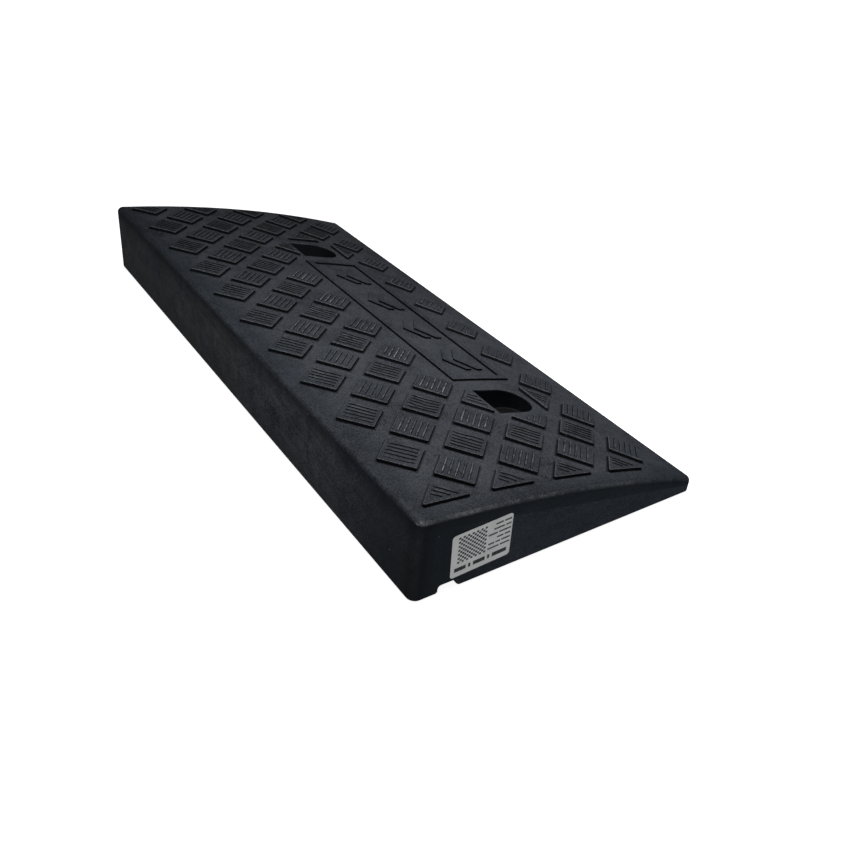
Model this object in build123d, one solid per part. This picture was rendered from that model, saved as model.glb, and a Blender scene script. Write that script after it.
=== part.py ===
from build123d import *
import os
from math import asin, cos, degrees, floor, hypot, radians, sin, sqrt

# A moulded rubber wedge ramp that carries wheels over a kerb or a cable.
# X runs downhill from the tall face to the toe, Y along the ramp and Z up, all in millimetres.
# The origin is on the floor, under the middle of the footprint.

# The wedge
ramp_length = 600.0
ramp_width = 270.0
tall_face_height = 68.3
toe_height = 12.5
crown_rise = 8.0
tall_corner_radius = 7.0
toe_corner_radius = 5.5
top_edge_radius = 5.0
base_edge_radius = 1.5

# The cable channel under the tall side
channel_inset = 29.8
channel_width = 15.0
channel_height = 5.5
channel_roof_radius = 2.0
channel_lip_radius = 2.6

# The tread: square blocks turned by 45 degrees, in rows that are staggered by half a pitch
tread_pitch = 57.0
tread_height = 2.8
block_side = 29.8
block_corner_radius = 1.8
block_draft = 12.0
block_edge_bevel = 0.5
bevel_angle = 45.0
half_block_overlap = 1.0
first_row_inset = 31.8
least_toe_margin = 16.0
least_end_margin = 14.0

# How far raised features reach down into the wedge
relief_root = 1.0

# The two fixing pockets, flat on the uphill side and round on the downhill side
fixing_row = 6
pocket_columns_from_end = 2
pocket_length = 45.0
pocket_width = 38.5
pocket_floor_height = 20.0
pocket_rim_radius = 1.0
bolt_hole_diameter = 14.0

# The steel washers that are moulded into the pocket floors
washer_diameter = 34.0
washer_thickness = 3.0
washer_clearance = 0.2

# The raised frame between the pockets, with plain chevrons in it
frame_gap_to_pocket = 17.0
frame_width = 61.0
frame_border = 6.0
frame_relief = 1.8
chevron_groups = 4
chevrons_per_group = 2
chevron_width = 40.0
chevron_rise = 12.0
chevron_stroke = 6.0
chevron_gap = 6.0

# The paper sticker on one end
sticker_width = 50.3
sticker_height = 38.0
sticker_thickness = 0.2
sticker_corner_radius = 2.5
sticker_inset = 29.3
sticker_gap_to_channel = 3.8
sticker_tilt = 2.8

tall_x = -ramp_width / 2
toe_x = ramp_width / 2
near_y = -ramp_length / 2
half_diagonal = block_side / sqrt(2)

# The crown is an arc from the tall face's upper edge to the toe's upper edge.
chord = hypot(ramp_width, tall_face_height - toe_height)
crown_radius = (chord**2 / 4 + crown_rise**2) / (2 * crown_rise)
chord_slope = asin((tall_face_height - toe_height) / chord)
middle_height = (tall_face_height + toe_height) / 2
crown_centre_x = -(crown_radius - crown_rise) * sin(chord_slope)
crown_centre_z = middle_height - (crown_radius - crown_rise) * cos(chord_slope)

# The tread's rows and columns are as many as fit.
row_spacing = tread_pitch / 2
row_room = ramp_width - first_row_inset - half_diagonal - least_toe_margin
row_count = floor(row_room / row_spacing) + 1
column_count = floor((ramp_length - 2 * least_end_margin) / tread_pitch)
tread_start_y = -column_count * tread_pitch / 2

# The pockets and the frame lie along one row.
fixing_x = tall_x + first_row_inset + (fixing_row - 1) * row_spacing
fixing_y = -tread_start_y - pocket_columns_from_end * tread_pitch
pocket_radius = pocket_width / 2
bolt_x = fixing_x + pocket_length / 2 - pocket_radius
frame_length = 2 * (fixing_y - pocket_radius - frame_gap_to_pocket)


def crown_height(x, rise=0.0):
    """Height of the crown above the floor at x, with the crown raised by rise along its radius."""
    return crown_centre_z + sqrt((crown_radius + rise) ** 2 - (x - crown_centre_x) ** 2)


def wedge(rise=0.0):
    """The wedge with sharp edges, its crown raised by rise."""
    tall_top = (tall_x, crown_height(tall_x, rise))
    middle_top = (0, crown_height(0, rise))
    toe_top = (toe_x, crown_height(toe_x, rise))
    outline = Curve() + [
        Line((tall_x, 0), tall_top),
        ThreePointArc(tall_top, middle_top, toe_top),
        Line(toe_top, (toe_x, 0)),
        Line((toe_x, 0), (tall_x, 0)),
    ]
    profile = Plane.XZ * make_face(outline)
    return extrude(profile, ramp_length / 2, both=True)


def rounded_wedge():
    """The wedge with its upright corners, its upper edges and its base edges rounded."""
    body = wedge()
    upright = body.edges().filter_by(Axis.Z).group_by(Axis.X)
    body = fillet(upright[0], tall_corner_radius)
    upright = body.edges().filter_by(Axis.Z).group_by(Axis.X)
    body = fillet(upright[-1], toe_corner_radius)
    body = fillet(body.faces().sort_by(Axis.Z)[-1].edges(), top_edge_radius)
    return fillet(body.faces().sort_by(Axis.Z)[0].edges(), base_edge_radius)


def cable_channel():
    """The space of the channel, open below and at both ends."""
    section = Rectangle(channel_width, channel_height, align=(Align.CENTER, Align.MIN))
    section = fillet(section.vertices().sort_by(Axis.Y)[-2:], channel_roof_radius)
    below = Rectangle(channel_width, channel_height, align=(Align.CENTER, Align.MAX))
    section = Plane.XZ * Pos(tall_x + channel_inset, 0) * (section + below)
    return extrude(section, ramp_length, both=True)


def pocket_outline():
    """A pocket seen from above, about its bolt hole."""
    straight = pocket_length - pocket_radius
    return Circle(pocket_radius) + Rectangle(straight, pocket_width, align=(Align.MAX, Align.CENTER))


def pocket_space():
    """The space of one pocket, with its washer's seat and bolt hole, about the hole's axis on the floor."""
    pocket = Pos(0, 0, pocket_floor_height) * extrude(pocket_outline(), tall_face_height)
    seat_radius = washer_diameter / 2 + washer_clearance
    seat = Pos(0, 0, pocket_floor_height) * Cylinder(seat_radius, 2 * washer_thickness)
    hole = Cylinder(bolt_hole_diameter / 2, 2 * tall_face_height)
    return pocket + seat + hole


def block_outline(side):
    """One tread block seen from above: a whole one, or the half of it that lies towards side."""
    if side is None:
        outline = Rectangle(block_side, block_side, rotation=45)
    else:
        height = half_diagonal + half_block_overlap
        turn = {"downhill": 0, "far": 90, "uphill": 180, "near": 270}[side]
        outline = Rot(0, 0, turn) * Polygon(
            (-half_block_overlap, -height), (half_diagonal, 0), (-half_block_overlap, height), align=None
        )
    return fillet(outline.vertices(), block_corner_radius)


def tread_block(side):
    """One tread block with drafted walls and a bevelled top, standing on the XY plane."""
    root = Pos(0, 0, -relief_root) * block_outline(side)
    walls = extrude(root, relief_root + tread_height - block_edge_bevel, taper=block_draft)
    shoulder = walls.faces().sort_by(Axis.Z)[-1]
    return walls + extrude(shoulder, block_edge_bevel, taper=bevel_angle)


def reaches(x, y, centre_x, centre_y, size_x, size_y):
    """Whether a block at x, y reaches into a rectangle."""
    gap_x = max(0, abs(x - centre_x) - size_x / 2)
    gap_y = max(0, abs(y - centre_y) - size_y / 2)
    return gap_x + gap_y < half_diagonal


def block_side_kept(x, y, column, staggered):
    """None for a whole block, the side of a cut one that stays, or "nothing" for one left out."""
    if reaches(x, y, fixing_x, 0, frame_width, frame_length):
        return "nothing"
    for pocket_y in (-fixing_y, fixing_y):
        if reaches(x, y, fixing_x, pocket_y, pocket_length, pocket_width):
            if abs(x - fixing_x) > abs(y - pocket_y):
                return "downhill" if x > fixing_x else "uphill"
            return "far" if y > pocket_y else "near"
    if not staggered and column == 0:
        return "far"
    if not staggered and column == column_count:
        return "near"
    return None


def tread():
    """All the blocks of the tread, each square to the crown under its middle."""
    masters = {side: tread_block(side) for side in (None, "uphill", "downhill", "near", "far")}
    blocks = []
    for row in range(row_count):
        staggered = row % 2 == 1
        x = tall_x + first_row_inset + row * row_spacing
        slope = degrees(asin((x - crown_centre_x) / crown_radius))
        for column in range(column_count if staggered else column_count + 1):
            y = tread_start_y + (column + (0.5 if staggered else 0)) * tread_pitch
            side = block_side_kept(x, y, column, staggered)
            if side != "nothing":
                blocks.append(Pos(x, y, crown_height(x)) * Rot(0, slope, 0) * masters[side])
    return blocks


def frame_and_chevrons():
    """The raised frame with its chevrons, whose tops follow the crown."""
    inner_width = frame_width - 2 * frame_border
    inner_length = frame_length - 2 * frame_border
    outlines = Rectangle(frame_width, frame_length) - Rectangle(inner_width, inner_length)
    chevron = Polygon(
        (0, 0),
        (chevron_rise, chevron_width / 2),
        (chevron_rise + chevron_stroke, chevron_width / 2),
        (chevron_stroke, 0),
        (chevron_rise + chevron_stroke, -chevron_width / 2),
        (chevron_rise, -chevron_width / 2),
        align=None,
    )
    step_x = chevron_stroke + chevron_gap
    start_x = -((chevrons_per_group - 1) * step_x + chevron_rise + chevron_stroke) / 2
    group_pitch = inner_length / chevron_groups
    for group in range(chevron_groups):
        y = (group - (chevron_groups - 1) / 2) * group_pitch
        for count in range(chevrons_per_group):
            outlines += Pos(start_x + count * step_x, y) * chevron
    prisms = extrude(Pos(fixing_x, 0) * outlines, 2 * tall_face_height, dir=(0, 0, 1))
    return (prisms & wedge(frame_relief)) - wedge(-relief_root)


def channel_lips(body):
    """The channel's two long lower edges."""
    lip_x = (tall_x + channel_inset - channel_width / 2, tall_x + channel_inset + channel_width / 2)
    floor_edges = body.edges().filter_by(Axis.Y).group_by(Axis.Z)[0]
    return [edge for edge in floor_edges if min(abs(edge.center().X - x) for x in lip_x) < channel_lip_radius]


def pocket_rims(body):
    """The edges where the pockets break through the crown."""
    crown = body.faces().filter_by(GeomType.CYLINDER).sort_by(SortBy.AREA)[-1]
    return [edge for wire in crown.inner_wires() for edge in wire.edges()]


def ramp_body():
    """The rubber moulding: wedge, channel, pockets, tread and frame in one piece."""
    body = rounded_wedge() - cable_channel()
    body = fillet(channel_lips(body), channel_lip_radius)
    for y in (-fixing_y, fixing_y):
        body -= Pos(bolt_x, y) * pocket_space()
    body = fillet(pocket_rims(body), pocket_rim_radius)
    return body + tread() + frame_and_chevrons()


def fixing_washer(y):
    """One steel washer, flush with the floor of the pocket at y."""
    ring = Circle(washer_diameter / 2) - Circle(bolt_hole_diameter / 2)
    return Pos(bolt_x, y, pocket_floor_height) * extrude(ring, -washer_thickness)


def end_sticker():
    """The paper sticker on the near end, clear of the channel's mouth."""
    tilt = radians(abs(sticker_tilt))
    corner_drop = sticker_width / 2 * sin(tilt) + sticker_height / 2 * cos(tilt)
    height = channel_height + sticker_gap_to_channel + corner_drop
    outline = RectangleRounded(sticker_width, sticker_height, sticker_corner_radius)
    place = Pos(tall_x + sticker_inset + sticker_width / 2, near_y, height) * Rot(90, 0, 0)
    return place * Rot(0, 0, sticker_tilt) * extrude(outline, sticker_thickness)


os.makedirs("parts", exist_ok=True)
pieces = {
    "ramp_body": ramp_body(),
    "fixing_washer_near": fixing_washer(-fixing_y),
    "fixing_washer_far": fixing_washer(fixing_y),
    "end_sticker": end_sticker(),
}
for name, piece in pieces.items():
    export_step(piece, f"parts/{name}.step")
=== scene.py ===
import math
import random

import bmesh
import bpy
from mathutils import Matrix, Vector


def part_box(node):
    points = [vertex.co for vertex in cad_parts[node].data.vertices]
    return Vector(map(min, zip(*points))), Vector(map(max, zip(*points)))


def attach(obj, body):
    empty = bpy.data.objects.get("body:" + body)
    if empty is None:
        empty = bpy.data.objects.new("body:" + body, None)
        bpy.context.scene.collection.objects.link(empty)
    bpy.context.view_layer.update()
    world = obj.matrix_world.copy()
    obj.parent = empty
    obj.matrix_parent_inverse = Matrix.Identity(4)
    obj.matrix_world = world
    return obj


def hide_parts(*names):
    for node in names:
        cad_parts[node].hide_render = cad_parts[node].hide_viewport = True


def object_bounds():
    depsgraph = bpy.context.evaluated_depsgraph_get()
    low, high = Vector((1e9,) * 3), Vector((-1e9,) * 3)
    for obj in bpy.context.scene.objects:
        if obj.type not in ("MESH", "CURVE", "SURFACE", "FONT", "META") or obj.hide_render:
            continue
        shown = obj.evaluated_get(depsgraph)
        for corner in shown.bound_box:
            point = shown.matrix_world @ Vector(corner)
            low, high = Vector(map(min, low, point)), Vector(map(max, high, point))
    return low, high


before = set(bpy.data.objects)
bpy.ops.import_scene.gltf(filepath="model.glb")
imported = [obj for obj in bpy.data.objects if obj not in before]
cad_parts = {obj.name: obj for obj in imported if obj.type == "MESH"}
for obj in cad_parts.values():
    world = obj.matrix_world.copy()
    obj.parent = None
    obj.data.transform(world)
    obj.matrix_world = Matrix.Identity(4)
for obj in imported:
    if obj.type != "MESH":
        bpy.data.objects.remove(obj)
cad_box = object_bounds()

bl_info = {
    "name": "Rubber wedge ramp",
    "version": (1, 0, 0),
    "blender": (4, 5, 0),
    "location": "View3D > Sidebar > Ramp",
    "description": "Dresses a moulded rubber wedge ramp with ribs, finishes and a studio stage",
    "category": "Object",
}

MM = 0.001

# The wedge and its tread as they are moulded, in metres: X runs downhill, Y along the ramp and Z up.
RAMP_LENGTH = 600.0 * MM
RAMP_WIDTH = 270.0 * MM
TALL_FACE_HEIGHT = 68.3 * MM
TOE_HEIGHT = 12.5 * MM
CROWN_RISE = 8.0 * MM
TREAD_ROWS = 8
TREAD_COLUMNS = 10
TREAD_PITCH = 57.0 * MM
TREAD_HEIGHT = 2.8 * MM
FIRST_ROW_INSET = 31.8 * MM
BLOCK_SIDE = 29.8 * MM
FIXING_ROW = 6
POCKET_COLUMNS_FROM_END = 2
POCKET_SIZE = (45.0 * MM, 38.5 * MM)
FRAME_SIZE = (61.0 * MM, 269.5 * MM)
FRAME_BORDER = 6.0 * MM

# The sticker on the near end, in metres
STICKER_SIZE = (50.3 * MM, 38.0 * MM)
STICKER_CORNER = 2.5 * MM
STICKER_TILT = math.radians(2.8)
SHEET_THICKNESS = 0.16 * MM


def linear(hex_colour):
    """Turn an sRGB hex colour into linear red, green and blue."""
    channels = [int(hex_colour[start:start + 2], 16) / 255 for start in (1, 3, 5)]
    return tuple(c / 12.92 if c <= 0.04045 else ((c + 0.055) / 1.055) ** 2.4 for c in channels)


def colour_property(name, description, hex_colour):
    """A colour that a user can change, given as an sRGB hex value."""
    return bpy.props.FloatVectorProperty(
        name=name,
        description=description,
        subtype="COLOR",
        size=3,
        min=0.0,
        max=1.0,
        default=linear(hex_colour),
    )


def length_property(name, description, metres):
    """A length that a user can change."""
    return bpy.props.FloatProperty(
        name=name, description=description, unit="LENGTH", precision=5, default=metres
    )


def angle_property(name, description, degrees):
    """An angle that a user can change."""
    return bpy.props.FloatProperty(
        name=name, description=description, subtype="ANGLE", default=math.radians(degrees)
    )


def plain_property(name, description, value):
    """A strength or a slope that a user can change."""
    return bpy.props.FloatProperty(name=name, description=description, default=value)


class RampRibSizes(bpy.types.PropertyGroup):
    """Sizes of the fine ribs on the tread blocks."""

    count: bpy.props.IntProperty(
        name="Ribs on a block", description="Ribs on a whole block", default=5, min=1
    )
    spacing: length_property("Spacing", "Distance from one rib to the next", 4.7 * MM)
    width: length_property("Width", "Width of a rib at its foot", 2.0 * MM)
    top_width: length_property("Top width", "Width of a rib's flat top", 1.1 * MM)
    height: length_property("Height", "Height of a rib above its block", 0.9 * MM)
    room: length_property("Room", "Least distance from a rib's top to the top of the ramp", 0.07 * MM)
    edge: length_property("Edge", "Radius along a rib's edges", 0.2 * MM)
    length: length_property("Length", "Length of a rib on a whole block", 24.0 * MM)
    end_taper: length_property("End taper", "Length over which a rib's end falls away", 1.0 * MM)
    least: length_property(
        "Least length", "Ribs on a half block that would be shorter are left out", 6.0 * MM
    )
    half_margin: length_property(
        "Half-block margin", "How far a half block's ribs stop from its middle", 2.4 * MM
    )
    wave: length_property("Wave", "How far the most uneven ribs wander sideways", 2.6 * MM)
    wave_size: length_property("Wave size", "Length of one wave along a rib", 17.0 * MM)


class RampRubberFinish(bpy.types.PropertyGroup):
    """Colours of the moulded rubber and its wear."""

    dark: colour_property("Dark rubber", "Deepest tone of the rubber", "#15171b")
    light: colour_property("Light rubber", "Palest tone of clean rubber", "#393e46")
    lane: colour_property("Lane dust", "Fine dust in the lanes of the tread", "#54565b")
    # Painted shade on the walls above the parting line, round the upright corner at the sticker and on the
    # far rim of the tall face
    wall_shade: colour_property("Upper band", "Rubber on the walls above the parting line", "#1d2125")
    chalk: colour_property("Chalk", "Chalky bloom on the walls", "#4b4e53")
    stain: colour_property("Stain", "Brown stains on the tall face", "#2f2d2a")
    # Pale rubber for wear and painted highlight on edges and rib tops
    wear_and_highlight: colour_property("Worn rubber", "Rubbed edges and rib tops", "#a2a3a7")
    # Painted shade: the steep sides of the blocks and ribs, the creases at their foot, the pocket floors and
    # the upright corner's rounding
    grime: colour_property("Grime", "Steep sides of the blocks and ribs", "#101215")
    dust: colour_property("Dust", "Specks of dust", "#9a9b9a")
    parting_height: length_property("Parting line", "Height of the parting line on the tall face", 62.3 * MM)
    parting_fall: plain_property("Parting fall", "Drop of the parting line for each unit downhill", 0.207)


class RampWasherFinish(bpy.types.PropertyGroup):
    """Colours of the washers."""

    zinc: colour_property("Zinc", "Clean zinc plating", "#4c4c4e")
    tarnish: colour_property("Tarnish", "Dull patches in the plating", "#2a2a2b")


class RampStickerFinish(bpy.types.PropertyGroup):
    """Colours of the sticker."""

    paper: colour_property("Paper", "Clean label paper", "#d6d7d7")
    grime: colour_property("Grime", "Handled paper", "#c9cac7")
    ink: colour_property("Ink", "Printed bars", "#2a2b30")


class RampStage(bpy.types.PropertyGroup):
    """Camera, floor and light."""

    floor: colour_property("Floor", "Painted floor", "#f2f2f2")
    camera_place: bpy.props.FloatVectorProperty(
        name="Camera",
        description="Place of the camera",
        subtype="TRANSLATION",
        default=(-0.3919, -0.6426, 0.4237),
    )
    camera_azimuth: angle_property("Azimuth", "Turn of the view from +Y towards +X", 36.52)
    camera_fall: angle_property("Fall", "Angle of the view below level", 33.23)
    camera_roll: angle_property("Roll", "Turn of the camera about its view", 5.7)
    lens: bpy.props.FloatProperty(
        name="Lens", description="Focal length on a 36 mm sensor", subtype="DISTANCE_CAMERA", default=37.68
    )
    overhead: plain_property("Overhead", "Strength of the even light from above", 0.6)
    bounce: plain_property("Bounce", "Strength of the light that the floor would throw at the walls", 2.0)
    key: bpy.props.FloatProperty(
        name="Key", description="Power of the softbox over the ramp", subtype="POWER", default=1.25
    )
    surround: plain_property("Surround", "Strength of the light from all round", 0.05)
    glow: plain_property("Glow", "Light that keeps the floor pale", 1.04)


def crown():
    """Radius and centre, in X and Z, of the arc that the tread follows."""
    chord = math.hypot(RAMP_WIDTH, TALL_FACE_HEIGHT - TOE_HEIGHT)
    radius = (chord**2 / 4 + CROWN_RISE**2) / (2 * CROWN_RISE)
    slope = math.asin((TALL_FACE_HEIGHT - TOE_HEIGHT) / chord)
    centre_x = -(radius - CROWN_RISE) * math.sin(slope)
    centre_z = (TALL_FACE_HEIGHT + TOE_HEIGHT) / 2 - (radius - CROWN_RISE) * math.cos(slope)
    return radius, centre_x, centre_z


def add_node(tree, kind, feeds=None, **settings):
    """Add a node with its settings, and feed its inputs from values, from outputs or from nodes.

    A node feeds an input from its first output in use.
    """
    new = tree.nodes.new(kind)
    for name, value in settings.items():
        setattr(new, name, value)
    for key, value in (feeds or {}).items():
        if isinstance(value, bpy.types.Node):
            value = next(output for output in value.outputs if output.enabled)
        if isinstance(value, bpy.types.NodeSocket):
            tree.links.new(value, new.inputs[key])
        else:
            new.inputs[key].default_value = value
    return new


def product(tree, *factors):
    """Multiply factors: nodes, outputs and ramps.

    A ramp is a value, its start and end, and its shares there, which are zero and one unless they are given.
    """
    ramp_inputs = ("Value", "From Min", "From Max", "To Min", "To Max")
    result = None
    for factor in factors:
        if isinstance(factor, tuple):
            factor = add_node(tree, "ShaderNodeMapRange", dict(zip(ramp_inputs, factor)))
        if result is None:
            result = factor
        else:
            result = add_node(tree, "ShaderNodeMath", {0: result, 1: factor}, operation="MULTIPLY")
    return result


def new_material(name):
    """An empty material, its node tree, and the place on the object that its patterns read, in mm."""
    material = bpy.data.materials.new(name)
    material.use_nodes = True
    tree = material.node_tree
    tree.nodes.clear()
    metres = add_node(tree, "ShaderNodeTexCoord").outputs["Object"]
    place = add_node(tree, "ShaderNodeVectorMath", {0: metres, "Scale": 1 / MM}, operation="SCALE")
    return material, tree, place


def opaque(colour):
    """A colour with full alpha, as colour sockets take it."""
    return (*colour, 1.0)


def inside(tree, place, middle, reach):
    """One for a place inside a rectangle in plan, and zero outside it."""
    offset = add_node(tree, "ShaderNodeVectorMath", {0: place, 1: middle}, operation="SUBTRACT")
    offset = add_node(tree, "ShaderNodeVectorMath", {0: offset}, operation="ABSOLUTE")
    offset = add_node(tree, "ShaderNodeSeparateXYZ", {0: offset}).outputs
    within = [
        add_node(tree, "ShaderNodeMath", {0: offset[axis], 1: reach[axis]}, operation="LESS_THAN")
        for axis in (0, 1)
    ]
    return product(tree, *within)


def relief_creases(tree, place, outward):
    """How close a place, in mm, is to the foot of a tread block or of the frame, within a millimetre."""
    half_pitch = TREAD_PITCH / MM / 2
    first_row = (FIRST_ROW_INSET - RAMP_WIDTH / 2) / MM
    middle_row = first_row + (TREAD_ROWS - 1) * half_pitch / 2
    fixing_x = first_row + (FIXING_ROW - 1) * half_pitch
    # The middle of a crease lies 0.2 mm outside the foot of its block.
    crease_line = BLOCK_SIDE / MM / 2 + 0.2
    diagonal = (math.sqrt(0.5), math.sqrt(0.5), 0)
    fall = add_node(tree, "ShaderNodeSeparateXYZ", {0: outward}).outputs["Z"]
    slope = add_node(tree, "ShaderNodeCombineXYZ", {0: fall, 1: 1.0, 2: 1.0})
    rows = {}
    for count in (0, 1):
        # The nearest block of every second row, and how far a place is from the foot of that block's sides
        start = (first_row + count * half_pitch, count * half_pitch, 0)
        offset = add_node(tree, "ShaderNodeVectorMath", {0: place, 1: start}, operation="SUBTRACT")
        limits = {1: (half_pitch, half_pitch, 1), 2: (-half_pitch, -half_pitch, 0)}
        offset = add_node(tree, "ShaderNodeVectorMath", {0: offset, **limits}, operation="WRAP")
        block = add_node(tree, "ShaderNodeVectorMath", {0: place, 1: offset}, operation="SUBTRACT")
        offset = add_node(tree, "ShaderNodeVectorMath", {0: offset}, operation="ABSOLUTE")
        offset = add_node(tree, "ShaderNodeVectorMath", {0: offset, 1: slope}, operation="DIVIDE")
        away = add_node(tree, "ShaderNodeVectorMath", {0: offset, 1: diagonal}, operation="DOT_PRODUCT")
        away = add_node(tree, "ShaderNodeMath", {0: away, 1: crease_line}, operation="SUBTRACT")
        away = add_node(tree, "ShaderNodeMath", {0: away}, operation="ABSOLUTE")

        # The tread ends with its outer blocks, and has none that would reach the frame.
        tread_reach = (TREAD_ROWS * half_pitch / 2, (TREAD_COLUMNS + 1) * half_pitch)
        frame_reach = (1.5 * half_pitch, FRAME_SIZE[1] / MM / 2 + half_pitch / 2)
        on_tread = inside(tree, block, (middle_row, 0, 0), tread_reach)
        left_out = inside(tree, block, (fixing_x, 0, 0), frame_reach)
        close = product(tree, on_tread, (away, 0.9, 0.3, 0.0, 0.7))
        rows[count] = add_node(
            tree, "ShaderNodeMath", {0: close, 1: left_out}, operation="SUBTRACT", use_clamp=True
        )
    crease = add_node(tree, "ShaderNodeMath", rows, operation="MAXIMUM")

    # Half blocks stop at the ends and at the pockets.
    between_ends = inside(tree, place, (0, 0, 0), (RAMP_WIDTH / MM, TREAD_COLUMNS * half_pitch))
    crease = product(tree, crease, between_ends)
    for side in (-1, 1):
        pocket = (fixing_x, side * (TREAD_COLUMNS - 2 * POCKET_COLUMNS_FROM_END) * half_pitch, 0)
        at_pocket = inside(tree, place, pocket, (half_pitch, half_pitch))
        crease = add_node(
            tree, "ShaderNodeMath", {0: crease, 1: at_pocket}, operation="SUBTRACT", use_clamp=True
        )

    # The frame has a crease outside and inside its border.
    crease_width = 0.8
    frame_share = 0.6
    for margin in (0.0, -FRAME_BORDER / MM - crease_width):
        edge = [length / MM / 2 + margin for length in FRAME_SIZE]
        within = inside(tree, place, (fixing_x, 0, 0), edge)
        about = inside(tree, place, (fixing_x, 0, 0), [reach + crease_width for reach in edge])
        ring = add_node(tree, "ShaderNodeMath", {0: about, 1: within}, operation="SUBTRACT")
        both = {0: ring, 1: frame_share, 2: crease}
        crease = add_node(tree, "ShaderNodeMath", both, operation="MULTIPLY_ADD")
    return crease


def moulded_rubber(name, finish, edges, side_tilt):
    """Black rubber from a compression mould: matt, mottled, speckled, with dust on top and chalk on the
    walls, and with painted shade and painted highlight.

    edges is how far the edges of the relief are painted pale, as wear and painted highlight, and side_tilt
    the outward share of the normal at which its sides begin to take painted shade and wholly take it. Pale
    tops, which are wear and painted highlight, come from the ribs' wear attribute.
    Lengths are in mm.
    """
    material, tree, place = new_material(name)
    normal = add_node(tree, "ShaderNodeTexCoord").outputs["Normal"]
    spot = add_node(tree, "ShaderNodeSeparateXYZ", {0: place}).outputs
    facing = add_node(tree, "ShaderNodeSeparateXYZ", {0: normal}).outputs

    # The tall face and the near end, and how far a place is from the two upright corners of the near end
    tall_x = -RAMP_WIDTH / MM / 2
    near_y = -RAMP_LENGTH / MM / 2
    in_plan = add_node(tree, "ShaderNodeVectorMath", {0: place, 1: (1, 1, 0)}, operation="MULTIPLY")
    from_corner, from_toe = [
        add_node(tree, "ShaderNodeVectorMath", {0: in_plan, 1: (x, near_y, 0)}, operation="DISTANCE")
        for x in (tall_x, -tall_x)
    ]

    # How far a place is raised above the crown, and the share of its normal that points out of the crown
    radius, centre_x, centre_z = [length / MM for length in crown()]
    centre = (centre_x, 0, centre_z)
    reach = add_node(tree, "ShaderNodeVectorMath", {0: place, 1: centre}, operation="SUBTRACT")
    reach = add_node(tree, "ShaderNodeVectorMath", {0: reach, 1: (1, 0, 1)}, operation="MULTIPLY")
    from_centre = add_node(tree, "ShaderNodeVectorMath", {0: reach}, operation="LENGTH")
    raised = add_node(tree, "ShaderNodeMath", {0: from_centre, 1: radius}, operation="SUBTRACT")
    outward = add_node(tree, "ShaderNodeVectorMath", {0: reach}, operation="NORMALIZE")
    tilt = add_node(tree, "ShaderNodeVectorMath", {0: normal, 1: outward}, operation="DOT_PRODUCT")

    # What lies level with the crown, the outer walls, and how far they belong to the tall face
    level = add_node(tree, "ShaderNodeMapRange", {"Value": tilt, "From Min": 0.75, "From Max": 0.95})
    steep = add_node(
        tree,
        "ShaderNodeMapRange",
        {"Value": tilt, "From Min": 0.75, "From Max": 0.35},
        interpolation_type="SMOOTHSTEP",
    )
    wall = product(tree, steep, (raised, -0.3, -1.2))
    tall = add_node(tree, "ShaderNodeMapRange", {"Value": facing["X"], "From Min": -0.3, "From Max": -0.8})

    # Clouds 50 mm wide, mottling 14 mm wide and a speckle of 1.1 mm, which is coarser than the real one
    # so that it shows
    clouds = add_node(tree, "ShaderNodeTexNoise", {"Vector": place, "Scale": 1 / 50, "Detail": 3.0})
    mottling = add_node(
        tree, "ShaderNodeTexNoise", {"Vector": place, "Scale": 1 / 14, "Detail": 4.0, "Roughness": 0.6}
    )
    speckle = add_node(
        tree, "ShaderNodeTexNoise", {"Vector": place, "Scale": 1 / 1.1, "Detail": 2.0, "Roughness": 0.7}
    )
    tone = add_node(tree, "ShaderNodeMath", {0: clouds, 1: mottling}, operation="ADD")
    tone = add_node(tree, "ShaderNodeMath", {0: speckle, 1: 4.2, 2: tone}, operation="MULTIPLY_ADD")
    tone = add_node(tree, "ShaderNodeMapRange", {"Value": tone, "From Min": 2.4, "From Max": 3.8})

    # The ends are smoother than the rest.
    calm = product(tree, wall, (tall, 0, 1, 0.4, 0.0))
    tone = add_node(tree, "ShaderNodeMix", {0: calm, 2: tone, 3: 0.5})

    # Fine dust lies in the lanes, level with the crown, with less of it on the blocks. The lanes are painted
    # darker along the tall face and towards the near corner of the toe, as shade where the light falls off,
    # and also along the near end.
    dust_and_shade = product(
        tree,
        level,
        (tone, 0, 1, 0.0, 0.75),
        (raised, 1.4, 0.4, 0.65, 1.0),
        (spot["X"], tall_x + 13, tall_x + 35, 0.2, 1.0),
        (spot["Y"], near_y + 4, near_y + 24, 0.2, 1.0),
        (from_toe, 10, 75, 0.3, 1.0),
    )

    # Painted shade darkens the sides of the relief, the crease at its foot and the floors of the pockets.
    painted_shade = product(tree, (tilt, *side_tilt), (raised, 0.1, 0.5))
    crease_shade = product(tree, level, relief_creases(tree, place, outward), (raised, 0.6, 0.2))
    pocket_shade = product(tree, level, (raised, -3, -8, 0.0, 0.7))
    for shaded in (crease_shade, pocket_shade):
        painted_shade = add_node(tree, "ShaderNodeMath", {0: painted_shade, 1: shaded}, operation="MAXIMUM")

    # Brown stains lie in clouds on the tall face, more of them towards the far end.
    stained = product(tree, wall, tall, (clouds, 0.3, 0.6), (spot["Y"], -200, 150, 0.4, 0.8))

    # Above the parting line the walls are painted darker, as shade, most of all at the top, where the
    # rounding turns away from the light. On the tall face the limit is soft.
    slant = {0: spot["X"], 1: finish.parting_fall, 2: spot["Z"]}
    line = add_node(tree, "ShaderNodeMath", slant, operation="MULTIPLY_ADD")
    line_height = finish.parting_height / MM + finish.parting_fall * tall_x
    band_foot = add_node(
        tree, "ShaderNodeMapRange", {"Value": tall, "To Min": line_height - 0.5, "To Max": line_height - 14}
    )
    band_shade = product(tree, wall, (line, band_foot, line_height + 0.3), (raised, -16, -5, 0.55, 0.75))
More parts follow.
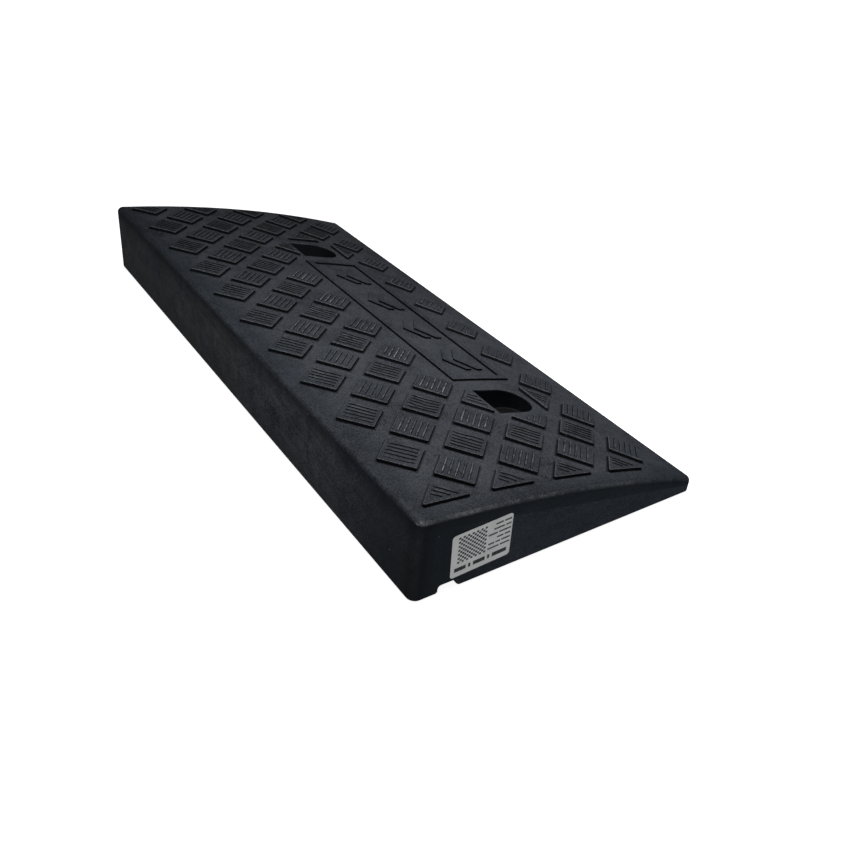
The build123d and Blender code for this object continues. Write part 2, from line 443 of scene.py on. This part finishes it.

    # Painted shade darkens the walls round the upright corner at the sticker, though less so high on the
    # tall face, and the corner's rounding is painted with the darkest rubber, to shade it where it would
    # catch the light.
    rise = {"Value": spot["Z"], "From Min": 20, "From Max": 50, "To Min": 1.0, "To Max": 0.3}
    low_down = add_node(tree, "ShaderNodeMapRange", rise)
    darkened = product(tree, wall, (from_corner, 85, 35, 0.0, 0.8), (tall, 0, 1, 1.0, low_down))
    corner_shade = product(tree, wall, (from_corner, 16, 3, 0.0, 0.8))

    # Towards the far end the rim of the tall face takes the same painted shade as the band, 10 mm down and a
    # little way onto the tread.
    rim_shade = product(
        tree, (spot["X"], tall_x + 8, tall_x + 1), (spot["Y"], 40, 160), (raised, -10, -5, 0.0, 0.85)
    )

    # Below the band a chalky bloom lies in wisps 30 mm long, with streaks along the ramp that are 70 mm
    # long and 2 mm wide.
    wisps = add_node(
        tree,
        "ShaderNodeTexNoise",
        {"Vector": place, "Scale": 1 / 30, "Detail": 5.0, "Roughness": 0.65, "Distortion": 1.8},
    )
    streaks = add_node(tree, "ShaderNodeMapping", {"Vector": place, "Rotation": (math.radians(-8), 0, 0)})
    streaks = add_node(tree, "ShaderNodeMapping", {"Vector": streaks, "Scale": (1 / 70, 1 / 70, 1 / 2)})
    streaks = add_node(tree, "ShaderNodeTexNoise", {"Vector": streaks, "Scale": 1.0, "Detail": 3.0})
    bloom = add_node(tree, "ShaderNodeMath", {0: wisps, 1: 1.6, 2: streaks}, operation="MULTIPLY_ADD")
    bloom = add_node(tree, "ShaderNodeMath", {0: speckle, 1: 2.6, 2: bloom}, operation="MULTIPLY_ADD")

    # The bloom thins out round that corner, as part of the painted shade there, and there is less of it on
    # the ends, close to the floor and towards the far end.
    below = add_node(tree, "ShaderNodeMath", {0: wall, 1: band_shade}, operation="SUBTRACT")
    chalky = product(
        tree,
        below,
        (bloom, 2.4, 3.0),
        (from_corner, 40, 130, 0.1, 1.0),
        (tall, 0, 1, 0.25, 1.0),
        (spot["Z"], 5, 30, 0.35, 1.0),
        (spot["Y"], -40, 150, 1.0, 0.45),
    )

    # The edges of the relief are painted pale in fine specks, as wear and painted highlight, and so are the
    # near end's edge in places and at its corner, and worn tops in patches 5 mm long, which are partly
    # painted highlight too.
    in_places = {"Value": mottling, "From Min": 0.4, "From Max": 0.65, "To Min": 0.15, "To Max": 0.6}
    at_corner = {"Value": from_corner, "From Min": 20, "From Max": 5, "To Max": 0.5}
    scuffs_and_highlights = {
        0: add_node(tree, "ShaderNodeMapRange", in_places),
        1: add_node(tree, "ShaderNodeMapRange", at_corner),
    }
    scuffed_and_lit = add_node(tree, "ShaderNodeMath", scuffs_and_highlights, operation="MAXIMUM")
    scuffed_and_lit = product(
        tree, scuffed_and_lit, (facing["Y"], -0.1, -0.4, 0.1 * edges, edges), (spot["X"], 90, -120, 0.4, 2.4)
    )
    edge = product(
        tree,
        (tilt, 0.35, 0.6),
        (tilt, 0.94, 0.8),
        (speckle, 0.35, 0.65, 0.2, 1.0),
        (raised, -1.0, 1.0, scuffed_and_lit, edges),
    )
    wear_and_highlight = add_node(tree, "ShaderNodeAttribute", attribute_name="wear_and_highlight").outputs["Fac"]
    patches = add_node(tree, "ShaderNodeTexNoise", {"Vector": place, "Scale": 1 / 5, "Detail": 2.0})
    tops = product(tree, level, wear_and_highlight, (patches, 0.38, 0.62))
    rubbed_and_lit = add_node(tree, "ShaderNodeMath", {0: edge, 1: tops}, operation="MAXIMUM")

    # Dust specks are up to 1 mm across, larger than real dust so that they show, and unequal.
    cells = add_node(tree, "ShaderNodeTexVoronoi", {"Vector": place, "Scale": 1 / 9}).outputs
    chance = add_node(tree, "ShaderNodeSeparateXYZ", {0: cells["Color"]}).outputs["X"]
    specks = product(tree, (cells["Distance"], 0.055, 0.02), (chance, 0.4, 1.0, 0.0, 0.7))

    # Each layer covers the ones before it.
    bare = {0: tone, 6: opaque(finish.dark), 7: opaque(finish.light)}
    colour = add_node(tree, "ShaderNodeMix", bare, data_type="RGBA")
    # The darkest and the band colours lay painted shade, the pale worn colour wear and painted highlight,
    # and the lane colour dust, with painted shade where there is less of it
    for share, tint in (
        (dust_and_shade, finish.lane),
        (painted_shade, finish.grime),
        (stained, finish.stain),
        (band_shade, finish.wall_shade),
        (darkened, finish.wall_shade),
        (corner_shade, finish.grime),
        (rim_shade, finish.wall_shade),
        (chalky, finish.chalk),
        (rubbed_and_lit, finish.wear_and_highlight),
        (specks, finish.dust),
    ):
        colour = add_node(tree, "ShaderNodeMix", {0: share, 6: colour, 7: opaque(tint)}, data_type="RGBA")

    relief = add_node(tree, "ShaderNodeMath", {0: speckle, 1: mottling}, operation="ADD")
    bump = add_node(tree, "ShaderNodeBump", {"Strength": 0.4, "Distance": 0.25 * MM, "Height": relief})
    gloss = {"Value": mottling, "From Min": 0.3, "From Max": 0.7, "To Min": 0.66, "To Max": 0.52}
    shader = add_node(
        tree,
        "ShaderNodeBsdfPrincipled",
        {
            "Base Color": colour,
            "Roughness": add_node(tree, "ShaderNodeMapRange", gloss),
            "IOR": 1.5,
            "Specular IOR Level": 0.2,
            "Normal": bump,
        },
    )
    add_node(tree, "ShaderNodeOutputMaterial", {"Surface": shader})
    return material


def zinc_plated_steel(finish):
    """Zinc-plated pressed steel: a dull bright metal with cloudy tarnish and fine scratches."""
    material, tree, place = new_material("zinc_plated_steel")

    # Tarnish lies in clouds 5 mm wide, and the scratches are 12 mm long and 0.4 mm wide.
    clouds = add_node(
        tree, "ShaderNodeTexNoise", {"Vector": place, "Scale": 1 / 5, "Detail": 5.0, "Roughness": 0.6}
    )
    dull = add_node(tree, "ShaderNodeMapRange", {"Value": clouds, "From Min": 0.38, "From Max": 0.62})
    tones = {0: dull, 6: opaque(finish.zinc), 7: opaque(finish.tarnish)}
    colour = add_node(tree, "ShaderNodeMix", tones, data_type="RGBA")
    scratches = add_node(tree, "ShaderNodeMapping", {"Vector": place, "Scale": (1 / 12, 1 / 0.4, 1.0)})
    scratches = add_node(tree, "ShaderNodeTexNoise", {"Vector": scratches, "Scale": 1.0, "Detail": 2.0})
    bump = add_node(tree, "ShaderNodeBump", {"Strength": 0.2, "Distance": 0.1 * MM, "Height": scratches})
    roughness = add_node(tree, "ShaderNodeMapRange", {"Value": dull, "To Min": 0.32, "To Max": 0.55})
    shader = add_node(
        tree,
        "ShaderNodeBsdfPrincipled",
        {"Base Color": colour, "Metallic": 1.0, "Roughness": roughness, "Normal": bump},
    )
    add_node(tree, "ShaderNodeOutputMaterial", {"Surface": shader})
    return material


def label_paper(finish):
    """Satin label paper: pale, with faint fibres 0.8 mm apart and handling marks 9 mm wide."""
    material, tree, place = new_material("label_paper")
    marks = add_node(tree, "ShaderNodeTexNoise", {"Vector": place, "Scale": 1 / 9, "Detail": 5.0})
    darkened = add_node(tree, "ShaderNodeMapRange", {"Value": marks, "From Min": 0.45, "From Max": 0.75})
    tones = {0: darkened, 6: opaque(finish.paper), 7: opaque(finish.grime)}
    colour = add_node(tree, "ShaderNodeMix", tones, data_type="RGBA")
    fibres = add_node(tree, "ShaderNodeTexNoise", {"Vector": place, "Scale": 1 / 0.8, "Detail": 3.0})
    bump = add_node(tree, "ShaderNodeBump", {"Strength": 0.15, "Distance": 0.05 * MM, "Height": fibres})
    shader = add_node(
        tree,
        "ShaderNodeBsdfPrincipled",
        {"Base Color": colour, "Roughness": 0.5, "IOR": 1.5, "Normal": bump},
    )
    add_node(tree, "ShaderNodeOutputMaterial", {"Surface": shader})
    return material


def thermal_ink(finish):
    """Black thermal print on label paper: thin, and uneven over 0.7 mm."""
    material, tree, place = new_material("thermal_ink")
    blotches = add_node(tree, "ShaderNodeTexNoise", {"Vector": place, "Scale": 1 / 0.7, "Detail": 2.0})
    fading = {"Value": blotches, "From Min": 0.55, "From Max": 0.8, "To Max": 0.5}
    thin = add_node(tree, "ShaderNodeMapRange", fading)
    tones = {0: thin, 6: opaque(finish.ink), 7: opaque(finish.grime)}
    colour = add_node(tree, "ShaderNodeMix", tones, data_type="RGBA")
    shader = add_node(
        tree, "ShaderNodeBsdfPrincipled", {"Base Color": colour, "Roughness": 0.55, "IOR": 1.5}
    )
    add_node(tree, "ShaderNodeOutputMaterial", {"Surface": shader})
    return material


def painted_floor(stage):
    """Matt painted floor: pale and even, with a faint roller texture 3 mm wide."""
    material, tree, place = new_material("painted_floor")
    stipple = add_node(tree, "ShaderNodeTexNoise", {"Vector": place, "Scale": 1 / 3, "Detail": 2.0})
    bump = add_node(tree, "ShaderNodeBump", {"Strength": 0.05, "Distance": 0.1 * MM, "Height": stipple})
    shader = add_node(
        tree,
        "ShaderNodeBsdfPrincipled",
        {
            "Base Color": opaque(stage.floor),
            "Roughness": 0.9,
            "Emission Color": opaque(stage.floor),
            "Emission Strength": stage.glow,
            "Normal": bump,
        },
    )
    add_node(tree, "ShaderNodeOutputMaterial", {"Surface": shader})
    return material


def reaches(x, y, centre_x, centre_y, size):
    """Whether a block at x, y reaches into a rectangle."""
    gap_x = max(0.0, abs(x - centre_x) - size[0] / 2)
    gap_y = max(0.0, abs(y - centre_y) - size[1] / 2)
    return gap_x + gap_y < BLOCK_SIDE / math.sqrt(2)


def kept_side(x, y, column, staggered):
    """Direction of the half of a block that is there; zero for a whole block, None for one left out."""
    fixing_x = -RAMP_WIDTH / 2 + FIRST_ROW_INSET + (FIXING_ROW - 1) * TREAD_PITCH / 2
    fixing_y = (TREAD_COLUMNS / 2 - POCKET_COLUMNS_FROM_END) * TREAD_PITCH
    if reaches(x, y, fixing_x, 0.0, FRAME_SIZE):
        return None
    for pocket_y in (-fixing_y, fixing_y):
        if reaches(x, y, fixing_x, pocket_y, POCKET_SIZE):
            if abs(x - fixing_x) > abs(y - pocket_y):
                return Vector((math.copysign(1, x - fixing_x), 0))
            return Vector((0, math.copysign(1, y - pocket_y)))
    if not staggered and column == 0:
        return Vector((0, 1))
    if not staggered and column == TREAD_COLUMNS:
        return Vector((0, -1))
    return Vector((0, 0))


def tread_blocks():
    """Row, middle of the top and kept side of every block, with its downhill and upward directions."""
    radius, centre_x, centre_z = crown()
    for row in range(TREAD_ROWS):
        staggered = row % 2 == 1
        x = -RAMP_WIDTH / 2 + FIRST_ROW_INSET + row * TREAD_PITCH / 2
        slope = math.asin((x - centre_x) / radius)
        downhill = Vector((math.cos(slope), 0, -math.sin(slope)))
        up = Vector((math.sin(slope), 0, math.cos(slope)))
        z = centre_z + radius * math.cos(slope)
        for column in range(TREAD_COLUMNS if staggered else TREAD_COLUMNS + 1):
            y = (column + (0.5 if staggered else 0.0) - TREAD_COLUMNS / 2) * TREAD_PITCH
            side = kept_side(x, y, column, staggered)
            if side is not None:
                yield row, Vector((x, y, z)) + up * TREAD_HEIGHT, side, downhill, up


def rib_lines(sizes):
    """Ends of every rib's middle line, its upward direction, share of the wave and paleness at both ends,
    which is wear and painted highlight.
    """
    wave_of_row = (0.35, 0.1, 1.0, 0.1, 0.7, 0.15, 0.35, 0.15)
    # Share of wear and painted highlight on the rib tops of each row
    wear_and_highlight_of_row = (0.55, 0.7, 0.6, 1.0, 0.6, 0.8, 0.5, 0.6)
    chance = random.Random(7)
    for row, middle, side, downhill, up in tread_blocks():
        turn = 1 if row % 2 else -1
        along = Vector((1, turn)).normalized()
        across = Vector((1, -turn)).normalized()
        # The rib tops are painted pale, as wear and painted highlight, unequally from block to block,
        # and less so from the middle of the ramp to its far end.
        far = min(1.0, max(0.0, middle.y / RAMP_LENGTH * 2))
        block_wear_and_highlight = wear_and_highlight_of_row[row] * chance.uniform(0.4, 1.0) * (1 - 0.8 * far)
        highest = cad_box[1][2] - sizes.room - sizes.height * up.z
        for count in range(sizes.count):
            offset = across * (count - (sizes.count - 1) / 2) * sizes.spacing
            start, end = -sizes.length / 2, sizes.length / 2
            lean = along.dot(side)
            if lean:
                # On a half block the rib stops short of the cut side.
                stop = (sizes.half_margin - offset.dot(side)) / lean
                start, end = (max(start, stop), end) if lean > 0 else (start, min(end, stop))
            wear_and_highlight = block_wear_and_highlight * chance.uniform(0.4, 1.0)
            if end - start > sizes.least:
                ends = [offset + along * reach for reach in (start, end)]
                ends = [middle + downhill * p.x + Vector((0, p.y, 0)) for p in ends]
                # A rib's end on the highest blocks is sunk, so that it stays below the top of the ramp.
                ends = [p - up * max(0.0, p.z - highest) for p in ends]
                # The uphill end of a rib, where it starts, is the paler, with more wear and more painted
                # highlight.
                yield ends, up, wave_of_row[row], (wear_and_highlight, wear_and_highlight / 3)


def rib_nodes(material):
    """Geometry Nodes that bend each rib's line, give it a section and let its ends fall away."""
    tree = bpy.data.node_groups.new("tread_ribs", "GeometryNodeTree")
    tree.interface.new_socket("Lines", in_out="INPUT", socket_type="NodeSocketGeometry")
    for name in ("Width", "Top width", "Height", "Edge", "End taper", "Wave", "Wave size"):
        tree.interface.new_socket(name, in_out="INPUT", socket_type="NodeSocketFloat")
    tree.interface.new_socket("Ribs", in_out="OUTPUT", socket_type="NodeSocketGeometry")
    given = add_node(tree, "NodeGroupInput").outputs
    up = add_node(tree, "GeometryNodeInputNamedAttribute", {"Name": "up"}, data_type="FLOAT_VECTOR")
    share = add_node(tree, "GeometryNodeInputNamedAttribute", {"Name": "wave"}, data_type="FLOAT")

    # Each line wanders sideways in the plane of its block.
    lines = add_node(tree, "GeometryNodeMeshToCurve", {"Mesh": given["Lines"]})
    lines = add_node(tree, "GeometryNodeResampleCurve", {"Curve": lines, "Count": 14})
    tangent = add_node(tree, "GeometryNodeInputTangent")
    sideways = add_node(tree, "ShaderNodeVectorMath", {0: up, 1: tangent}, operation="CROSS_PRODUCT")
    place = add_node(tree, "GeometryNodeInputPosition")
    per_wave = add_node(tree, "ShaderNodeMath", {0: 1.0, 1: given["Wave size"]}, operation="DIVIDE")
    noise = add_node(tree, "ShaderNodeTexNoise", {"Vector": place, "Scale": per_wave, "Detail": 1.0})
    swing = product(tree, share, (noise, 0.25, 0.75, -0.5, 0.5), given["Wave"])
    move = add_node(tree, "ShaderNodeVectorMath", {0: sideways, "Scale": swing}, operation="SCALE")
    lines = add_node(tree, "GeometryNodeSetPosition", {"Geometry": lines, "Offset": move})
    lines = add_node(tree, "GeometryNodeSetCurveNormal", {"Curve": lines, "Normal": up}, mode="FREE")

    # The section is a trapezium whose lower half is in the block.
    # A quarter turn lays its top along the normal.
    whole_height = add_node(tree, "ShaderNodeMath", {0: given["Height"], 1: 2.0}, operation="MULTIPLY")
    widths = {0: given["Width"], 1: given["Top width"]}
    spread = add_node(tree, "ShaderNodeMath", widths, operation="SUBTRACT")
    root_width = add_node(tree, "ShaderNodeMath", {0: given["Width"], 1: spread}, operation="ADD")
    section = add_node(
        tree,
        "GeometryNodeCurvePrimitiveQuadrilateral",
        {"Height": whole_height, "Bottom Width": root_width, "Top Width": given["Top width"], "Offset": 0.0},
        mode="TRAPEZOID",
    )
    rounding = {"Curve": section, "Count": 1, "Radius": given["Edge"]}
    section = add_node(tree, "GeometryNodeFilletCurve", rounding, mode="POLY")
    quarter_turn = (0.0, 0.0, math.radians(-90))
    section = add_node(tree, "GeometryNodeTransform", {"Geometry": section, "Rotation": quarter_turn})

    # Within the taper's length of either end, the section shrinks to a third.
    run = add_node(tree, "GeometryNodeSplineParameter").outputs["Length"]
    whole = add_node(tree, "GeometryNodeSplineLength").outputs["Length"]
    rest = add_node(tree, "ShaderNodeMath", {0: whole, 1: run}, operation="SUBTRACT")
    nearest = add_node(tree, "ShaderNodeMath", {0: run, 1: rest}, operation="MINIMUM")
    shrinking = {"Value": nearest, "From Max": given["End taper"], "To Min": 0.33}
    taper = add_node(tree, "ShaderNodeMapRange", shrinking)
    sweep = {"Curve": lines, "Profile Curve": section, "Scale": taper, "Fill Caps": True}
    ribs = add_node(tree, "GeometryNodeCurveToMesh", sweep)
    ribs = add_node(tree, "GeometryNodeRealizeInstances", {"Geometry": ribs})
    ribs = add_node(tree, "GeometryNodeSetMaterial", {"Geometry": ribs, "Material": material})
    add_node(tree, "NodeGroupOutput", {"Ribs": ribs})
    return tree


class RAMP_OT_rubber_body(bpy.types.Operator):
    """Give the ramp's moulding its rubber"""

    bl_idname = "ramp.rubber_body"
    bl_label = "Rubber body"

    def execute(self, context):
        finish = context.scene.ramp_rubber
        # The body's rubber carries painted shade and painted highlight as well as its own tones
        rubber = moulded_rubber("moulded_rubber", finish, edges=0.35, side_tilt=(0.5, 0.3))
        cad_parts["ramp_body"].material_slots[0].material = rubber
        return {"FINISHED"}


class RAMP_OT_tread_ribs(bpy.types.Operator):
    """Raise the fine ribs on the tread blocks"""

    bl_idname = "ramp.tread_ribs"
    bl_label = "Tread ribs"

    def execute(self, context):
        sizes = context.scene.ramp_ribs
        lines = list(rib_lines(sizes))
        mesh = bpy.data.meshes.new("tread_ribs")
        points = [point for ends, up, wave, end_wear_and_highlight in lines for point in ends]
        mesh.from_pydata(points, [(2 * i, 2 * i + 1) for i in range(len(lines))], [])
        ups = [part for ends, up, wave, end_wear_and_highlight in lines for end in ends for part in up]
        waves = [wave for ends, up, wave, end_wear_and_highlight in lines for end in ends]
        wear_and_highlight = [share for ends, up, wave, end_wear_and_highlight in lines for share in end_wear_and_highlight]
        mesh.attributes.new("up", "FLOAT_VECTOR", "POINT").data.foreach_set("vector", ups)
        mesh.attributes.new("wave", "FLOAT", "POINT").data.foreach_set("value", waves)
        mesh.attributes.new("wear_and_highlight", "FLOAT", "POINT").data.foreach_set("value", wear_and_highlight)
        ribs = bpy.data.objects.new("tread_ribs", mesh)
        context.scene.collection.objects.link(ribs)
        finish = context.scene.ramp_rubber
        # The ribs' sides take painted shade, and their tops a paleness that is wear and painted highlight
        rubber = moulded_rubber("rib_rubber_wear_shade_and_highlight", finish, edges=0.0, side_tilt=(0.92, 0.72))
        tree = rib_nodes(rubber)
        modifier = ribs.modifiers.new("tread_ribs", "NODES")
        modifier.node_group = tree
        given = {
            "Width": sizes.width,
            "Top width": sizes.top_width,
            "Height": sizes.height,
            "Edge": sizes.edge,
            "End taper": sizes.end_taper,
            "Wave": sizes.wave,
            "Wave size": sizes.wave_size,
        }
        for socket in tree.interface.items_tree:
            if socket.name in given:
                modifier[socket.identifier] = given[socket.name]
        depsgraph = context.evaluated_depsgraph_get()
        solid = bpy.data.meshes.new_from_object(ribs.evaluated_get(depsgraph), depsgraph=depsgraph)
        ribs.modifiers.clear()
        ribs.data = solid
        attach(ribs, "root")
        return {"FINISHED"}


class RAMP_OT_fixing_washers(bpy.types.Operator):
    """Give the washers in the pockets their plating"""

    bl_idname = "ramp.fixing_washers"
    bl_label = "Fixing washers"

    def execute(self, context):
        steel = zinc_plated_steel(context.scene.ramp_washers)
        for name in ("fixing_washer_near", "fixing_washer_far"):
            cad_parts[name].material_slots[0].material = steel
        return {"FINISHED"}


def printed_bars():
    """Left, right, bottom and top of each printed patch, in millimetres about the sticker's middle."""
    check = 1.8
    checks_across = 13
    chequer_left, chequer_bottom = -20.0, -7.3
    for row in range(checks_across):
        for column in range(row % 2, checks_across, 2):
            left = chequer_left + column * check
            bottom = chequer_bottom + row * check
            yield left, left + check, bottom, bottom + check

    # Short lines of bars beside the chequer, each laid from its right-hand end
    gap = 1.0
    lines_right, lines_bottom = 24.0, -6.5
    line_pitch = 4.1
    line_height = 1.4
    lines = ((8.2, 9.8), (7.5, 4.0, 5.0), (5.0, 5.5), (10.2, 7.8), (4.6, 9.1), (6.0, 6.4))
    for count, bars in enumerate(lines):
        right = lines_right
        bottom = lines_bottom + count * line_pitch
        for length in bars:
            yield right - length, right, bottom, bottom + line_height
            right -= length + gap

    # One line of heavy bars along the bottom
    heavy_bottom, heavy_top = -14.5, -11.0
    for left, right in ((-22.0, -12.5), (-10.5, -8.5), (-6.5, 3.5), (5.5, 7.5), (9.5, 22.0)):
        yield left, right, heavy_bottom, heavy_top


def sticker_sheet():
    """The sticker's sheet as a mesh, its front cut along the print so that the print lies in the surface."""
    sheet = bmesh.new()
    corner_steps = 4
    outline = []
    for count, (side_x, side_y) in enumerate(((1, 1), (-1, 1), (-1, -1), (1, -1))):
        for step in range(corner_steps + 1):
            angle = math.radians(90) * (count + step / corner_steps)
            x = side_x * (STICKER_SIZE[0] / 2 - STICKER_CORNER) + STICKER_CORNER * math.cos(angle)
            y = side_y * (STICKER_SIZE[1] / 2 - STICKER_CORNER) + STICKER_CORNER * math.sin(angle)
            outline.append((x, y))
    back = [sheet.verts.new((x, y, 0)) for x, y in outline]
    front = [sheet.verts.new((x, y, SHEET_THICKNESS)) for x, y in outline]
    sheet.faces.new(back[::-1])
    for i in range(len(outline)):
        sheet.faces.new((back[i - 1], back[i], front[i], front[i - 1]))

    bars = list(printed_bars())
    cuts_x = sorted({round(edge, 2) for bar in bars for edge in bar[:2]})
    cuts_y = sorted({round(edge, 2) for bar in bars for edge in bar[2:]})
    grid = [[sheet.verts.new((x * MM, y * MM, SHEET_THICKNESS)) for x in cuts_x] for y in cuts_y]
    for row in range(len(cuts_y) - 1):
        for column in range(len(cuts_x) - 1):
            x = (cuts_x[column] + cuts_x[column + 1]) / 2
            y = (cuts_y[row] + cuts_y[row + 1]) / 2
            lower, upper = grid[row], grid[row + 1]
            cell = sheet.faces.new((lower[column], lower[column + 1], upper[column + 1], upper[column]))
            cell.material_index = int(any(bar[0] < x < bar[1] and bar[2] < y < bar[3] for bar in bars))
    rims = [edge for edge in sheet.edges if edge.is_boundary]
    bmesh.ops.triangle_fill(sheet, use_beauty=True, edges=rims)
    bmesh.ops.recalc_face_normals(sheet, faces=sheet.faces)
    mesh = bpy.data.meshes.new("printed_sticker")
    sheet.to_mesh(mesh)
    sheet.free()
    return mesh


class RAMP_OT_end_sticker(bpy.types.Operator):
    """Lay the printed sticker on the near end"""

    bl_idname = "ramp.end_sticker"
    bl_label = "End sticker"

    def execute(self, context):
        finish = context.scene.ramp_sticker
        low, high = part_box("end_sticker")
        middle = (low + high) / 2
        place = Matrix.Translation((middle.x, high.y, middle.z))
        place = place @ Matrix.Rotation(math.radians(90), 4, "X") @ Matrix.Rotation(STICKER_TILT, 4, "Z")
        mesh = sticker_sheet()
        mesh.transform(place)
        mesh.materials.append(label_paper(finish))
        mesh.materials.append(thermal_ink(finish))
        sticker = bpy.data.objects.new("printed_sticker", mesh)
        context.scene.collection.objects.link(sticker)
        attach(sticker, "root")
        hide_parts("end_sticker")
        return {"FINISHED"}


class RAMP_OT_stage(bpy.types.Operator):
    """Set the floor, the soft light and the camera"""

    bl_idname = "ramp.stage"
    bl_label = "Studio stage"

    def execute(self, context):
        stage = context.scene.ramp_stage
        scene = context.scene
        reach = 15.0
        mesh = bpy.data.meshes.new("floor")
        corners = [(-reach, -reach, 0), (reach, -reach, 0), (reach, reach, 0), (-reach, reach, 0)]
        mesh.from_pydata(corners, [], [(0, 1, 2, 3)])
        mesh.materials.append(painted_floor(stage))
        floor = bpy.data.objects.new("floor", mesh)
        # The floor throws no light of its own at the ramp and lets the bounce through.
        floor.visible_diffuse = False
        floor.visible_glossy = False
        floor.visible_shadow = False
        scene.collection.objects.link(floor)

        # The bounce comes from below the floor, as light thrown back by a pale floor would.
        for name, strength, angle, source in (
            ("overhead", stage.overhead, math.radians(80), Vector((0.15, 0.3, 0.9))),
            ("bounce", stage.bounce, math.radians(60), Vector((-0.62, -0.68, -0.4))),
        ):
            sun = bpy.data.lights.new(name, "SUN")
            sun.energy = strength
            sun.angle = angle
            light = bpy.data.objects.new(name, sun)
            light.rotation_euler = source.to_track_quat("Z", "Y").to_euler()
            light.visible_glossy = False
            scene.collection.objects.link(light)

        box = bpy.data.lights.new("softbox", "AREA")
        box.shape = "RECTANGLE"
        box.size = 0.3
        box.size_y = 0.3
        box.spread = math.radians(105)
        box.energy = stage.key
        softbox = bpy.data.objects.new("softbox", box)
        softbox.location = (0.01, -0.13, 0.72)
        softbox.visible_camera = False
        scene.collection.objects.link(softbox)

        # The camera sees a white surround, which is dimmer and a little blue as light.
        world = bpy.data.worlds.new("studio")
        world.use_nodes = True
        tree = world.node_tree
        tree.nodes.clear()
        seen = add_node(tree, "ShaderNodeLightPath").outputs["Is Camera Ray"]
        cool = opaque((0.88, 0.94, 1.0))
        dim = add_node(tree, "ShaderNodeBackground", {"Color": cool, "Strength": stage.surround})
        white = opaque((1.0, 1.0, 1.0))
        pale = add_node(tree, "ShaderNodeBackground", {"Color": white, "Strength": 1.0})
        mixed = add_node(tree, "ShaderNodeMixShader", {0: seen, 1: dim, 2: pale})
        add_node(tree, "ShaderNodeOutputWorld", {"Surface": mixed})
        scene.world = world
        scene.view_settings.view_transform = "Standard"

        data = bpy.data.cameras.new("camera")
        data.sensor_width = 36.0
        data.lens = stage.lens
        data.clip_start = 0.01
        camera = bpy.data.objects.new("camera", data)
        turn = Matrix.Rotation(-stage.camera_azimuth, 4, "Z")
        turn = turn @ Matrix.Rotation(math.radians(90) - stage.camera_fall, 4, "X")
        turn = turn @ Matrix.Rotation(stage.camera_roll, 4, "Z")
        camera.matrix_world = Matrix.Translation(stage.camera_place) @ turn
        scene.collection.objects.link(camera)
        scene.camera = camera
        return {"FINISHED"}


class RAMP_PT_sidebar(bpy.types.Panel):
    """The ramp's pieces, finishes and stage"""

    bl_idname = "RAMP_PT_sidebar"
    bl_label = "Rubber wedge ramp"
    bl_space_type = "VIEW_3D"
    bl_region_type = "UI"
    bl_category = "Ramp"

    def draw(self, context):
        scene = context.scene
        for operator, group in (
            (RAMP_OT_rubber_body, scene.ramp_rubber),
            (RAMP_OT_tread_ribs, scene.ramp_ribs),
            (RAMP_OT_fixing_washers, scene.ramp_washers),
            (RAMP_OT_end_sticker, scene.ramp_sticker),
            (RAMP_OT_stage, scene.ramp_stage),
        ):
            box = self.layout.box()
            for name in group.__annotations__:
                box.prop(group, name)
            box.operator(operator.bl_idname)


GROUPS = {
    "ramp_rubber": RampRubberFinish,
    "ramp_ribs": RampRibSizes,
    "ramp_washers": RampWasherFinish,
    "ramp_sticker": RampStickerFinish,
    "ramp_stage": RampStage,
}
CLASSES = (
    *GROUPS.values(),
    RAMP_OT_rubber_body,
    RAMP_OT_tread_ribs,
    RAMP_OT_fixing_washers,
    RAMP_OT_end_sticker,
    RAMP_OT_stage,
    RAMP_PT_sidebar,
)


def register():
    """Add the classes, and give every scene their settings."""
    for item in CLASSES:
        bpy.utils.register_class(item)
    for name, group in GROUPS.items():
        setattr(bpy.types.Scene, name, bpy.props.PointerProperty(type=group))


def unregister():
    """Take the settings and the classes away again."""
    for name in GROUPS:
        delattr(bpy.types.Scene, name)
    for item in reversed(CLASSES):
        bpy.utils.unregister_class(item)


def main():
    """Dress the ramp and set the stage."""
    register()
    bpy.ops.ramp.rubber_body()
    bpy.ops.ramp.tread_ribs()
    bpy.ops.ramp.fixing_washers()
    bpy.ops.ramp.end_sticker()
    bpy.ops.ramp.stage()


if __name__ == "__main__":
    main()
